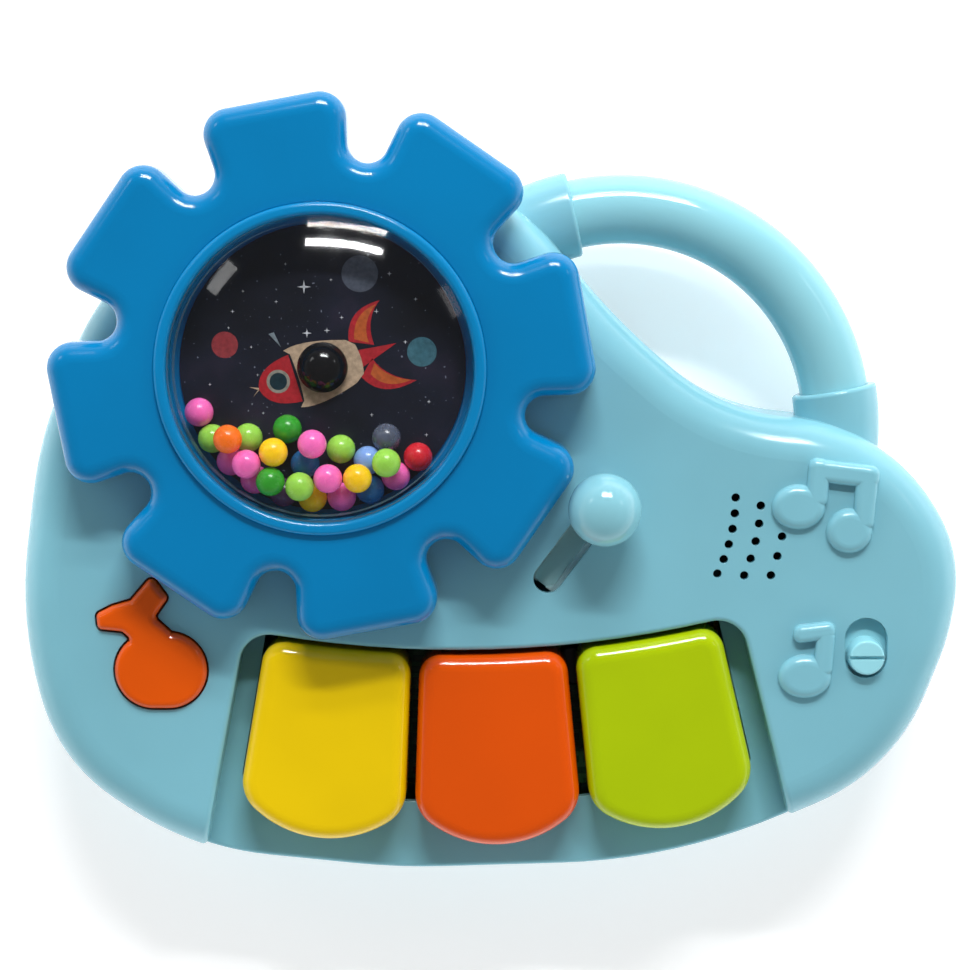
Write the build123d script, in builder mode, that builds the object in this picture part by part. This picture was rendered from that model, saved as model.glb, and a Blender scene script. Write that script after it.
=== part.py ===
"""Toy electronic keyboard: blob-shaped two-shell case with a spinning lobed wheel, three keys and a carry handle.

Frame: the toy lies on its flat back. +X is to the toy's right, +Y points to the handle side, +Z out of the face.
The origin is the centre of the bounding box in X and Y, on the back face. All lengths are millimetres.
"""

from build123d import *
import math
import os

os.makedirs("parts", exist_ok=True)

# ---------------------------------------------------------------- driving dimensions
# case
PARTING_Z = 18.0
FACE_Z = 36.0
WALL = 2.2
SHOULDER_RADIUS = 9.5
BACK_RADIUS = 6.0
LIP_HEIGHT = 1.5
LIP_INSET = 1.1
FIT = 0.1

# rounded polygon of the case: corner x, corner y, corner radius
CASE_CORNERS = [
    (-103, -65.5, 42), (-71, -87, 72), (-22, -92, 165), (44.5, -90, 143), (96.5, -67.5, 48),
    (109, -35, 53), (112, -15, 33), (93, 15, 44), (54.5, 18.5, 48), (29.5, 40, 150),
    (3, 72, 45), (-44.5, 75, 57), (-90, 52.5, 58), (-106.5, 11, 95), (-112, -31, 93),
]

# carry handle: a tube bent round a circle, held in two collars
HANDLE_X = 31.0
HANDLE_Y = 14.0
HANDLE_BEND = 51.8
TUBE_RADIUS = 8.15
TUBE_BORE = 6.2
COLLAR_RADIUS = 10.1
TUBE_ANGLES = (-6.0, 118.0)
RIGHT_COLLAR = (-14.0, 10.2)
LEFT_COLLAR = (102.4, 130.0)

# spinning wheel
WHEEL_X = -38.6
WHEEL_Y = 29.6
WHEEL_FLAT = 61.6
LOBES = 8
LOBE_ANGLE = 10.5
WHEEL_BACK_Z = 37.6
WHEEL_FACE_Z = 50.0
WHEEL_ROUND = 4.6
LOBE_CORNER = 6.0
NOTCH_BOTTOM = 47.6
NOTCH_RADIUS = 4.6
NOTCH_FLARE = 14.0
WEB = 2.0
WHEEL_SKIN = 2.4
CHAMBER_RADIUS = 34.6
BEZEL_RADIUS = 37.7
BEZEL_BORE = 34.8
BEZEL_TOP_Z = 51.6
DOME_SEAT_Z = 46.0
DOME_FLANGE = 1.4
DOME_RADIUS = 34.7
DOME_SKIN = 1.3
DOME_RIM_Z = 51.4
DOME_RISE = 10.0
HUB_RADIUS = 5.95
HUB_BORE = 6.0
HUB_END_Z = 27.6
HUB_CAP_RADIUS = 5.8
HUB_CAP_HEIGHT = 5.4
HUB_CAP_DOME = 3.8
PAD_Z = 37.3
BEARING_Z = 27.9
PICTURE_THICKNESS = 0.6
PICTURE_RADIUS = 32.9
BEAD_RADIUS = 3.3

# keys: a fan about one point far above the case
FAN_X = -7.8
FAN_Y = 227.25
KEY_PITCH = 7.85
KEY_HALF_ANGLE = 3.72
ORANGE_KEY_ANGLE = 1.8
KEY_TOP_R = 265.6
KEY_SIDE_R = 303.0
KEY_END_R = 311.4
KEY_SKIRT_R = 301.4
KEY_TOP_Z = 37.4
KEY_LIP_Z = 30.0
KEY_SKIRT_Z = 20.5
KEY_SKIN = 2.0
KEY_ROUND = 3.8
KEY_TOP_CORNER = 5.5
KEY_LOW_CORNER = 9.0
KEY_HINGE_R = 260.0
KEY_HINGE_Z = 22.0
HINGE_PIN_RADIUS = 1.0
PIN_HALF = 13.4
BRACKET_OFFSET = 12.2
BRACKET_WIDTH = 2.0
KEY_POST_R = 285.0
KEY_POST_Z = 17.6
KEY_POST_RADIUS = 2.8
KEY_ARM_HALF = 10.0

# tray that the keys sit in
TRAY_Z = 26.0
TRAY_TOP_R = 264.4
TRAY_LEFT = -10.85
TRAY_RIGHT = 14.5
TRAY_OPEN_R = 302.9
TRAY_OPEN_LEFT = -9.9
TRAY_OPEN_RIGHT = 13.5
TRAY_ROUND = 1.2

# note-shaped button
NOTE_X = -77.3
NOTE_Y = -41.8
NOTE_HEAD_A = 10.8
NOTE_HEAD_B = 9.0
NOTE_GAP = 0.45
NOTE_TOP_Z = 37.8
NOTE_FLANGE_Z = 31.2
NOTE_FLANGE = 1.0
NOTE_ROUND = 1.9
NOTE_DOME_TOP_Z = 22.6

# ball knob and its slot
KNOB_X = 26.2
KNOB_Y = -2.9
SLOT_LOW_X = 13.4
SLOT_LOW_Y = -20.15
SLOT_WIDTH = 6.8
STEM_RADIUS = 3.0
BALL_RADIUS = 8.45
BALL_Z = 45.2
TRACK_Z = 31.5
TRACK_LOW_Z = 28.3
FOOT_THICKNESS = 1.6
FOOT_TOP_Z = 33.4
TRACK_SCREWS = [(0.0, 9.6), (0.0, -9.6)]

# power switch
SWITCH_X = 88.0
SWITCH_SLOT_Y = -36.5
SWITCH_SLOT_W = 10.0
SWITCH_SLOT_L = 14.2
SWITCH_KNOB_Y = -38.5
SWITCH_PLATE_Z = 32.2
SWITCH_TOP_Z = 38.4

# speaker
SPEAKER_X = 62.0
SPEAKER_Y = -9.0
SPEAKER_RADIUS = 17.5
GRILLE_X = 16.4
GRILLE_Y = -1.1
HOLE_RADIUS = 1.0
GRILLE_ROWS = [(40.7, 0.0, 6), (46.6, -2.3, 5), (52.4, -10.0, 3)]
GRILLE_STEP = 5.2
SPEAKER_BACK_Z = 29.0

# battery box
BOX_X = (-22.0, 38.0)
BOX_Y = (-26.0, 20.0)
BOX_Z = 17.6
BOX_WALL = 1.8
DOOR_THICKNESS = 1.8
DOOR_MARGIN = 1.1
CELL_RADIUS = 7.1
CELL_LENGTH = 49.0
CELL_PITCH = 15.2
CELL_Z = 9.3
PLATE_SIDE = 9.0
WIRE_RADIUS = 0.5
WIRE_BEND = 1.2
WIRE_RUN_Z = 15.5

# boards
BOARD_Z = 11.0
BOARD_THICKNESS = 1.6
NOTE_BOARD_Z = 16.0
NOTE_BOARD_SCREWS = [(-88.0, -42.0), (-66.0, -42.0)]
SWITCH_CASE_Y = -36.5
SWITCH_CASE_Z = 20.8

# case screws: x, y
CASE_SCREWS = [(-98, -12), (-80, -64), (0, -83.5), (82, -61.5), (99, -18), (48, 13), (-25, 64), (-80, 42)]
SCREW_RADIUS = 1.35
SCREW_HEAD_RADIUS = 2.7
SCREW_SEAT_Z = 10.0
SCREW_TIP_Z = 22.6
BOSS_RADIUS = 3.6
COLUMN_RADIUS = 4.2
BOARD_SCREWS = [(-46, -42), (52, -42), (-46, -70), (52, -70)]


# ---------------------------------------------------------------- shared geometry
UPRIGHT = (Align.CENTER, Align.CENTER, Align.MIN)


def fan_point(angle, radius):
    """Point of the key fan: angle in degrees from straight down, positive to the right."""
    a = math.radians(angle)
    return (FAN_X + radius * math.sin(a), FAN_Y - radius * math.cos(a))


def fan_frame(angle, radius, z):
    """Plane at a fan point: x along the key row, y towards the fan centre, z up."""
    a = math.radians(angle)
    x, y = fan_point(angle, radius)
    return Plane(origin=(x, y, z), x_dir=(math.cos(a), math.sin(a), 0), z_dir=(0, 0, 1))


def fan_face(left, right, inner, outer, corner_top=0.0, corner_low=0.0):
    """Sector of the key fan between two angles and two radii."""
    middle = (left + right) / 2
    with BuildSketch() as sector:
        with BuildLine():
            ThreePointArc(fan_point(left, inner), fan_point(middle, inner), fan_point(right, inner))
            Line(fan_point(right, inner), fan_point(right, outer))
            ThreePointArc(fan_point(right, outer), fan_point(middle, outer), fan_point(left, outer))
            Line(fan_point(left, outer), fan_point(left, inner))
        make_face()
        if corner_top:
            fillet(sector.vertices().sort_by(Axis.Y)[-2:], corner_top)
        if corner_low:
            fillet(sector.vertices().sort_by(Axis.Y)[:2], corner_low)
    return sector.sketch


def case_face(inset):
    """The case's outline, moved inwards by inset."""
    with BuildSketch() as outline:
        with BuildLine():
            FilletPolyline([(x, y) for x, y, r in CASE_CORNERS], radius=[r for x, y, r in CASE_CORNERS], close=True)
        make_face()
        if inset:
            offset(amount=-inset)
    return outline.sketch


def bend_plane(angle):
    """Plane across the handle's bend at an angle, seen from the handle's centre."""
    a = math.radians(angle)
    centre = (HANDLE_X + HANDLE_BEND * math.cos(a), HANDLE_Y + HANDLE_BEND * math.sin(a), PARTING_Z)
    return Plane(origin=centre, x_dir=(math.cos(a), math.sin(a), 0), z_dir=(math.sin(a), -math.cos(a), 0))


KEY_ANGLES = [ORANGE_KEY_ANGLE + KEY_PITCH * i for i in (-1, 0, 1)]


def pin_plane(angle, start):
    """Plane across a key's hinge line, start millimetres along it from the key's middle."""
    a = math.radians(angle)
    x, y = fan_point(angle, KEY_HINGE_R)
    origin = (x + start * math.cos(a), y + start * math.sin(a), KEY_HINGE_Z)
    return Plane(origin=origin, x_dir=(0, 0, 1), z_dir=(math.cos(a), math.sin(a), 0))


BEND_AXIS = Axis((HANDLE_X, HANDLE_Y, 0), (0, 0, 1))


def bend(angles, radius):
    """Solid tube round the handle's bend between two angles."""
    with BuildPart() as tube:
        with BuildSketch(bend_plane(angles[0])):
            Circle(radius)
        revolve(axis=BEND_AXIS, revolution_arc=angles[1] - angles[0])
    return tube.part


def half_collar(angles, side):
    """Collar round the handle's end, with a softened mouth, cut at the parting plane."""
    with BuildPart() as ring:
        add(bend(angles, COLLAR_RADIUS))
        fillet(ring.faces().filter_by(GeomType.PLANE).edges(), 0.9)
        split(bisect_by=Plane.XY.offset(PARTING_Z), keep=side)
    return ring.part


def slot_plane(z):
    """Plane at the middle of the ball knob's slot, x along the slot towards the knob."""
    dx = KNOB_X - SLOT_LOW_X
    dy = KNOB_Y - SLOT_LOW_Y
    middle = ((KNOB_X + SLOT_LOW_X) / 2, (KNOB_Y + SLOT_LOW_Y) / 2, z)
    return Plane(origin=middle, x_dir=(dx, dy, 0), z_dir=(0, 0, 1))


SLOT_RUN = math.hypot(KNOB_X - SLOT_LOW_X, KNOB_Y - SLOT_LOW_Y)


def note_button_face(grow):
    """Outline of the note-shaped button: an oval head, a neck and a flag."""
    neck_and_flag = [
        (-86.5, -39.0), (-84.4, -34.2), (-86.3, -32.6), (-92.0, -32.0), (-92.3, -28.4), (-88.6, -26.5),
        (-84.2, -25.2), (-79.2, -19.4), (-75.4, -24.6), (-78.7, -29.2), (-73.0, -34.4), (-77.0, -40.0),
    ]
    with BuildSketch() as flag:
        with BuildLine():
            Polyline(neck_and_flag, close=True)
        make_face()
        fillet([v for v in flag.vertices() if v.Y > -35.5], 1.3)
    with BuildSketch() as note:
        with Locations((NOTE_X, NOTE_Y)):
            SlotOverall(2 * NOTE_HEAD_A, 2 * NOTE_HEAD_B)
        add(flag.sketch)
        if grow:
            offset(amount=grow)
    return note.sketch


def raised_oval(x, y, a, b, base_z, top_z, rounding):
    """Oval pad with a rounded rim."""
    with BuildPart() as pad:
        with BuildSketch(Plane.XY.offset(base_z)):
            with Locations((x, y)):
                Ellipse(a, b)
        extrude(amount=top_z - base_z)
        fillet(pad.faces().sort_by(Axis.Z)[-1].edges(), rounding)
    return pad.part


def raised_bar(points, base_z, top_z, corner, rounding):
    """Pad over a polygon with rounded corners and a rounded rim."""
    with BuildPart() as pad:
        with BuildSketch(Plane.XY.offset(base_z)) as outline:
            with BuildLine():
                Polyline(points, close=True)
            make_face()
            fillet(outline.vertices(), corner)
        extrude(amount=top_z - base_z)
        fillet(pad.faces().sort_by(Axis.Z)[-1].edges(), rounding)
    return pad.part


def write(piece, name):
    """Label a finished piece and write it as its own file."""
    piece.part.label = name
    export_step(piece.part, f"parts/{name}.step")
    print(name, len(piece.part.solids()), round(piece.part.volume, 1), piece.part.is_valid)


BOX_CX = (BOX_X[0] + BOX_X[1]) / 2
BOX_CY = (BOX_Y[0] + BOX_Y[1]) / 2
BOX_LENGTH = BOX_X[1] - BOX_X[0]
BOX_WIDTH = BOX_Y[1] - BOX_Y[0]
DOOR_SCREW_X = BOX_CX
DOOR_SCREW_Y = BOX_Y[1] + 5.5
DOOR_TONGUES = [(BOX_CX - 18, BOX_Y[0] - 2.0), (BOX_CX + 18, BOX_Y[0] - 2.0)]
CELL_ROWS = [BOX_CY - CELL_PITCH, BOX_CY, BOX_CY + CELL_PITCH]
WIRE_EXITS = [(BOX_X[0] + 0.55, CELL_ROWS[0]), (BOX_X[1] - 0.55, CELL_ROWS[2])]


def door_face(margin):
    """Battery door: a rounded rectangle with a tab for its screw."""
    with BuildSketch() as door:
        with Locations((BOX_CX, BOX_CY)):
            RectangleRounded(BOX_LENGTH + 2 * margin, BOX_WIDTH + 2 * margin, 2.0)
        with Locations((DOOR_SCREW_X, (BOX_CY + DOOR_SCREW_Y) / 2)):
            Rectangle(2 * (3.4 + margin), DOOR_SCREW_Y - BOX_CY)
        with Locations((DOOR_SCREW_X, DOOR_SCREW_Y)):
            Circle(3.4 + margin)
    return door.sketch


def meets(face, others):
    """True where a face shares an edge with one of the others."""
    return any(e.is_same(g) for e in face.edges() for other in others for g in other.edges())


def level_face(piece, z, x, y):
    """The flat face of a piece at height z that lies nearest to x, y."""
    flat = [f for f in piece.faces().filter_by(Plane.XY) if abs(f.center().Z - z) < 0.01]
    return min(flat, key=lambda f: math.hypot(f.center().X - x, f.center().Y - y))


def free_edges(faces, others):
    """Edges that belong to one of the faces and to none of the others."""
    taken = [e for f in others for e in f.edges()]
    own = [e for f in faces for e in f.edges()]
    return [e for e in own if sum(e.is_same(g) for g in own) == 1 and not any(e.is_same(g) for g in taken)]


# ---------------------------------------------------------------- front housing
# the hollow inside the front shell, which passes under the key tray
with BuildPart() as front_hollow:
    with BuildSketch(Plane.XY.offset(PARTING_Z)):
        add(case_face(WALL))
    extrude(amount=FACE_Z - WALL - PARTING_Z)
    fillet(front_hollow.faces().sort_by(Axis.Z)[-1].edges(), SHOULDER_RADIUS - WALL)
    with BuildSketch(Plane.XY.offset(TRAY_Z - WALL)):
        add(fan_face(TRAY_LEFT - 0.45, TRAY_RIGHT + 0.45, TRAY_TOP_R - WALL, TRAY_TOP_R + 80, 7.0))
    extrude(amount=FACE_Z - TRAY_Z + WALL, mode=Mode.SUBTRACT)

# a double and a single note, raised on the face
RAISED_Z = FACE_Z + 2.2
NOTE_BASE_Z = FACE_Z - 8.0
RAISED_NOTES = [
    raised_oval(71.7, -3.2, 6.3, 5.2, NOTE_BASE_Z, RAISED_Z, 2.1),
    raised_oval(83.6, -8.8, 5.4, 5.2, NOTE_BASE_Z, RAISED_Z, 2.1),
    raised_bar([(73.2, -3.6), (74.0, 8.4), (79.0, 7.8), (78.4, -3.0)], NOTE_BASE_Z, RAISED_Z, 2.0, 1.7),
    raised_bar([(84.4, -8.6), (85.0, 6.6), (90.4, 6.0), (89.2, -8.6)], NOTE_BASE_Z, RAISED_Z, 2.0, 1.7),
    raised_bar([(74.0, 3.0), (74.4, 8.2), (90.6, 6.2), (90.2, 1.0)], NOTE_BASE_Z, RAISED_Z, 2.0, 1.7),
    raised_oval(73.7, -43.2, 6.3, 5.1, NOTE_BASE_Z, RAISED_Z, 2.1),
    raised_bar([(75.4, -43.0), (76.4, -32.2), (80.8, -31.6), (80.0, -43.0)], NOTE_BASE_Z, RAISED_Z, 1.8, 1.5),
    raised_bar([(70.6, -35.4), (71.0, -31.2), (80.8, -30.0), (80.6, -34.2)], NOTE_BASE_Z, RAISED_Z, 1.8, 1.5),
]

with BuildPart() as front_housing:
    with BuildSketch(Plane.XY.offset(PARTING_Z)):
        add(case_face(0))
    extrude(amount=FACE_Z - PARTING_Z)
    fillet(front_housing.faces().sort_by(Axis.Z)[-1].edges(), SHOULDER_RADIUS)

    # raised notes
    for pad in RAISED_NOTES:
        add(pad)

    # key tray, open at the case's lower edge
    with BuildSketch(Plane.XY.offset(TRAY_Z)):
        add(fan_face(TRAY_LEFT, TRAY_RIGHT, TRAY_TOP_R, TRAY_TOP_R + 80, 7.0))
    extrude(amount=FACE_Z - TRAY_Z + 5, mode=Mode.SUBTRACT)

    floor = level_face(front_housing, TRAY_Z, 0, -60)
    walls = [f for f in front_housing.faces() if f.center().Z > TRAY_Z + 0.5 and meets(f, [floor])]
    fillet(free_edges([floor], walls) + free_edges(walls, [floor]), TRAY_ROUND)

    # hollow, and a step that takes the rear shell's lip
    add(front_hollow.part, mode=Mode.SUBTRACT)
    with BuildSketch(Plane.XY.offset(PARTING_Z)):
        add(case_face(LIP_INSET - FIT))
    extrude(amount=LIP_HEIGHT + FIT, mode=Mode.SUBTRACT)

    # opening for the keys
    with BuildSketch(Plane.XY.offset(TRAY_Z - WALL - 1)):
        add(fan_face(TRAY_OPEN_LEFT, TRAY_OPEN_RIGHT, TRAY_TOP_R, TRAY_OPEN_R, 0, 3.0))
    extrude(amount=WALL + 2, mode=Mode.SUBTRACT)

    # slot of the ball knob, recess of the power switch, hole of the note button, speaker grille
    with BuildSketch(slot_plane(FACE_Z - WALL - 1)):
        SlotCenterToCenter(SLOT_RUN, SLOT_WIDTH)
    extrude(amount=WALL + 2, mode=Mode.SUBTRACT)
    with BuildSketch(Plane.XY.offset(FACE_Z - WALL - 1)):
        with Locations((SWITCH_X, SWITCH_SLOT_Y)):
            SlotOverall(SWITCH_SLOT_L, SWITCH_SLOT_W, rotation=90)
    extrude(amount=WALL + 2, mode=Mode.SUBTRACT)
    with BuildSketch(Plane.XY.offset(FACE_Z - WALL - 1)):
        add(note_button_face(NOTE_GAP))
    extrude(amount=WALL + 2, mode=Mode.SUBTRACT)
    for radius, first, count in GRILLE_ROWS:
        with BuildSketch(Plane.XY.offset(FACE_Z - WALL - 1)):
            for i in range(count):
                angle = math.radians(first - GRILLE_STEP * i)
                with Locations((GRILLE_X + radius * math.cos(angle), GRILLE_Y + radius * math.sin(angle))):
                    Circle(HOLE_RADIUS)
        extrude(amount=WALL + 2, mode=Mode.SUBTRACT)

    # thrust pad and bearing of the wheel
    with BuildSketch(Plane.XY.offset(FACE_Z - 1)):
        with Locations((WHEEL_X, WHEEL_Y)):
            Circle(14.0)
    extrude(amount=PAD_Z - FACE_Z + 1)
    with BuildSketch(Plane.XY.offset(BEARING_Z)):
        with Locations((WHEEL_X, WHEEL_Y)):
            Circle(9.0)
    extrude(amount=FACE_Z - BEARING_Z)
    with BuildSketch(Plane.XY.offset(BEARING_Z - 1)):
        with Locations((WHEEL_X, WHEEL_Y)):
            Circle(HUB_BORE)
    extrude(amount=PAD_Z - BEARING_Z + 2, mode=Mode.SUBTRACT)

    # locating ring of the speaker
    with BuildSketch(Plane.XY.offset(SPEAKER_BACK_Z)):
        with Locations((SPEAKER_X, SPEAKER_Y)):
            Circle(SPEAKER_RADIUS + 1.5)
            Circle(SPEAKER_RADIUS + FIT, mode=Mode.SUBTRACT)
    extrude(amount=FACE_Z - WALL + 0.2 - SPEAKER_BACK_Z)

    # bosses that the case screws bite into, and bosses of the slider track
    for x, y in CASE_SCREWS:
        ceiling = TRAY_Z - 0.5 if y < -80 else FACE_Z - 1.0
        with BuildSketch(Plane.XY.offset(PARTING_Z + FIT)):
            with Locations((x, y)):
                Circle(BOSS_RADIUS)
        extrude(amount=ceiling - PARTING_Z - FIT)
    with BuildSketch(Plane.XY.offset(PARTING_Z)):
        with Locations(*CASE_SCREWS):
            Circle(SCREW_RADIUS + 0.05)
    extrude(amount=SCREW_TIP_Z + 0.4 - PARTING_Z, mode=Mode.SUBTRACT)
    with BuildSketch(slot_plane(TRACK_Z)):
        with Locations(*TRACK_SCREWS):
            Circle(2.6)
    extrude(amount=FACE_Z - 1 - TRACK_Z)
    with BuildSketch(slot_plane(TRACK_Z - 1)):
        with Locations(*TRACK_SCREWS):
            Circle(1.05)
    extrude(amount=4.6, mode=Mode.SUBTRACT)

    # brackets that hold the key hinge pins
    for angle in KEY_ANGLES:
        with BuildSketch(fan_frame(angle, KEY_HINGE_R, KEY_HINGE_Z - 2.4)):
            with Locations((-BRACKET_OFFSET, -0.2), (BRACKET_OFFSET, -0.2)):
                Rectangle(BRACKET_WIDTH, 5.2)
        extrude(amount=FACE_Z - 1.5 - KEY_HINGE_Z + 2.4)
    for angle in KEY_ANGLES:
        with BuildSketch(pin_plane(angle, -PIN_HALF - 0.1)):
            Circle(HINGE_PIN_RADIUS + 0.02)
        extrude(amount=2 * PIN_HALF + 0.2, mode=Mode.SUBTRACT)

    # upper halves of the handle collars
    for angles in (RIGHT_COLLAR, LEFT_COLLAR):
        add(half_collar(angles, Keep.TOP))
    for angles in (RIGHT_COLLAR, LEFT_COLLAR):
        add(bend((angles[0] - 2, angles[1] + 2), TUBE_RADIUS + FIT), mode=Mode.SUBTRACT)
write(front_housing, "front_housing")


# ---------------------------------------------------------------- rear housing
with BuildPart() as rear_hollow:
    with BuildSketch(Plane.XY.offset(WALL)):
        add(case_face(WALL))
    extrude(amount=PARTING_Z - WALL)
    fillet(rear_hollow.faces().sort_by(Axis.Z)[0].edges(), BACK_RADIUS - WALL)

# lip that steps into the front shell, left out where the collars pass
with BuildPart() as lip:
    with BuildSketch(Plane.XY.offset(PARTING_Z - 1)):
        add(case_face(LIP_INSET))
        add(case_face(WALL), mode=Mode.SUBTRACT)
    extrude(amount=LIP_HEIGHT + 1)
    for angles in (RIGHT_COLLAR, LEFT_COLLAR):
        add(bend(angles, COLLAR_RADIUS + 0.3), mode=Mode.SUBTRACT)

with BuildPart() as rear_housing:
    with BuildSketch():
        add(case_face(0))
    extrude(amount=PARTING_Z)
    fillet(rear_housing.faces().sort_by(Axis.Z)[0].edges(), BACK_RADIUS)
    add(rear_hollow.part, mode=Mode.SUBTRACT)

    add(lip.part)

    # battery box, screw columns and posts
    with BuildSketch():
        with Locations((BOX_CX, BOX_CY)):
            Rectangle(BOX_LENGTH + 2 * BOX_WALL, BOX_WIDTH + 2 * BOX_WALL)
    extrude(amount=BOX_Z + BOX_WALL)
    with BuildSketch():
        with Locations((DOOR_SCREW_X, DOOR_SCREW_Y)):
            Circle(3.8)
    extrude(amount=12.0)
    with BuildSketch(Plane.XY.offset(0.5)):
        with Locations(*CASE_SCREWS):
            Circle(COLUMN_RADIUS)
    extrude(amount=PARTING_Z - 0.5)
    with BuildSketch(Plane.XY.offset(WALL - 0.5)):
        with Locations(*BOARD_SCREWS):
            Circle(3.0)
    extrude(amount=BOARD_Z - WALL + 0.5)
    with BuildSketch(Plane.XY.offset(WALL - 0.5)):
        with Locations(*NOTE_BOARD_SCREWS):
            Circle(2.4)
    extrude(amount=NOTE_BOARD_Z - WALL + 0.5)
    with BuildSketch(Plane.XY.offset(WALL - 0.5)):
        with Locations((SWITCH_X, SWITCH_CASE_Y)):
            Rectangle(10.0, 12.0)
            Rectangle(6.0, 8.0, mode=Mode.SUBTRACT)
    extrude(amount=SWITCH_CASE_Z - WALL + 0.5)

    # inside of the battery box and the seat of its door
    with BuildSketch():
        with Locations((BOX_CX, BOX_CY)):
            Rectangle(BOX_LENGTH, BOX_WIDTH)
    extrude(amount=BOX_Z, mode=Mode.SUBTRACT)
    with BuildSketch():
        add(door_face(DOOR_MARGIN + 0.3))
    extrude(amount=DOOR_THICKNESS + 0.2, mode=Mode.SUBTRACT)
    with BuildSketch(Plane.XY.offset(0.7)):
        with Locations(*DOOR_TONGUES):
            Rectangle(8.6, 4.6)
    extrude(amount=1.3, mode=Mode.SUBTRACT)

    # holes that let the battery wires out through the box's roof
    with Locations(*[(x, y, BOX_Z - 1) for x, y in WIRE_EXITS]):
        Cylinder(WIRE_RADIUS + 0.3, BOX_WALL + 2, align=UPRIGHT, mode=Mode.SUBTRACT)

    # screw holes
    with Locations(*[(x, y, 0) for x, y in CASE_SCREWS]):
        Cylinder(SCREW_HEAD_RADIUS + 0.3, SCREW_SEAT_Z, align=UPRIGHT, mode=Mode.SUBTRACT)
        Cylinder(SCREW_RADIUS + 0.25, PARTING_Z + 1, align=UPRIGHT, mode=Mode.SUBTRACT)
    with Locations(*[(x, y, 4.0) for x, y in BOARD_SCREWS]):
        Cylinder(1.1, BOARD_Z, align=UPRIGHT, mode=Mode.SUBTRACT)
    with Locations(*[(x, y, 6.0) for x, y in NOTE_BOARD_SCREWS]):
        Cylinder(0.95, NOTE_BOARD_Z, align=UPRIGHT, mode=Mode.SUBTRACT)
    with Locations((DOOR_SCREW_X, DOOR_SCREW_Y, 0)):
        Cylinder(1.3, 10.0, align=UPRIGHT, mode=Mode.SUBTRACT)

    # lower halves of the handle collars
    for angles in (RIGHT_COLLAR, LEFT_COLLAR):
        add(half_collar(angles, Keep.BOTTOM))
    for angles in (RIGHT_COLLAR, LEFT_COLLAR):
        add(bend((angles[0] - 2, angles[1] + 2), TUBE_RADIUS + FIT), mode=Mode.SUBTRACT)
write(rear_housing, "rear_housing")

# ---------------------------------------------------------------- handle
with BuildPart() as handle:
    add(bend(TUBE_ANGLES, TUBE_RADIUS))
    add(bend((TUBE_ANGLES[0] - 1, TUBE_ANGLES[1] + 1), TUBE_BORE), mode=Mode.SUBTRACT)
write(handle, "handle")

# ---------------------------------------------------------------- spinning wheel
def wheel_face(inset):
    """The wheel's outline: a disc with flat-ended lobes, moved inwards by inset."""
    flare = math.radians(NOTCH_FLARE)
    centre_r = NOTCH_BOTTOM + NOTCH_RADIUS
    start_r = centre_r - NOTCH_RADIUS * math.sin(flare)
    start_h = NOTCH_RADIUS * math.cos(flare)
    end_r = WHEEL_FLAT + 10
    end_h = start_h + (end_r - start_r) * math.tan(flare)
    notch = [(start_r, -start_h), (end_r, -end_h), (end_r, end_h), (start_r, start_h)]
    half_pitch = 180 / LOBES
    with BuildSketch() as outline:
        RegularPolygon(WHEEL_FLAT, LOBES, major_radius=False, rotation=LOBE_ANGLE + half_pitch)
        with PolarLocations(0, LOBES, start_angle=LOBE_ANGLE + half_pitch):
            with Locations((centre_r, 0)):
                Circle(NOTCH_RADIUS, mode=Mode.SUBTRACT)
        with PolarLocations(0, LOBES, start_angle=LOBE_ANGLE + half_pitch):
            Polygon(*notch, align=None, mode=Mode.SUBTRACT)
        corners = [v for v in outline.vertices() if math.hypot(v.X, v.Y) > WHEEL_FLAT]
        fillet(corners, LOBE_CORNER)
        if inset:
            offset(amount=-inset)
    return outline.sketch


WHEEL = Plane(origin=(WHEEL_X, WHEEL_Y, 0))
FLOOR_Z = WHEEL_BACK_Z + WEB
PICTURE_Z = FLOOR_Z + PICTURE_THICKNESS

with BuildPart(WHEEL) as gear_wheel:
    with BuildSketch(WHEEL.offset(WHEEL_BACK_Z)):
        add(wheel_face(0))
    extrude(amount=WHEEL_FACE_Z - WHEEL_BACK_Z)
    fillet(gear_wheel.faces().sort_by(Axis.Z)[-1].edges(), WHEEL_ROUND)
    fillet(gear_wheel.faces().sort_by(Axis.Z)[0].edges(), 0.8)
    # hollow back between the rim and the chamber wall
    with BuildSketch(WHEEL.offset(WHEEL_BACK_Z)):
        add(wheel_face(WHEEL_SKIN + 0.4))
        Circle(BEZEL_RADIUS + 1.6, mode=Mode.SUBTRACT)
    extrude(amount=WHEEL_FACE_Z - WHEEL_BACK_Z - WHEEL_SKIN - 1.0, mode=Mode.SUBTRACT)
    # bead chamber with the seat of the window and its bezel
    with BuildSketch(WHEEL.offset(FLOOR_Z)):
        Circle(CHAMBER_RADIUS)
    extrude(amount=WHEEL_FACE_Z, mode=Mode.SUBTRACT)
    with BuildSketch(WHEEL.offset(DOME_SEAT_Z)):
        Circle(BEZEL_RADIUS + 0.05)
    extrude(amount=WHEEL_FACE_Z, mode=Mode.SUBTRACT)
    # hub
    with BuildSketch(WHEEL.offset(HUB_END_Z)):
        Circle(HUB_RADIUS)
    extrude(amount=FLOOR_Z - HUB_END_Z)
    with BuildSketch(WHEEL.offset(HUB_END_Z - 1)):
        Circle(1.3)
    extrude(amount=8.0, mode=Mode.SUBTRACT)
    with BuildSketch(WHEEL.offset(FLOOR_Z - 3.5)):
        Circle(2.05)
    extrude(amount=4.0, mode=Mode.SUBTRACT)
write(gear_wheel, "gear_wheel")

with BuildPart(WHEEL) as picture_disc:
    with BuildSketch(WHEEL.offset(FLOOR_Z)):
        Circle(PICTURE_RADIUS)
        Circle(2.1, mode=Mode.SUBTRACT)
    extrude(amount=PICTURE_THICKNESS)
write(picture_disc, "picture_disc")

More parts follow.
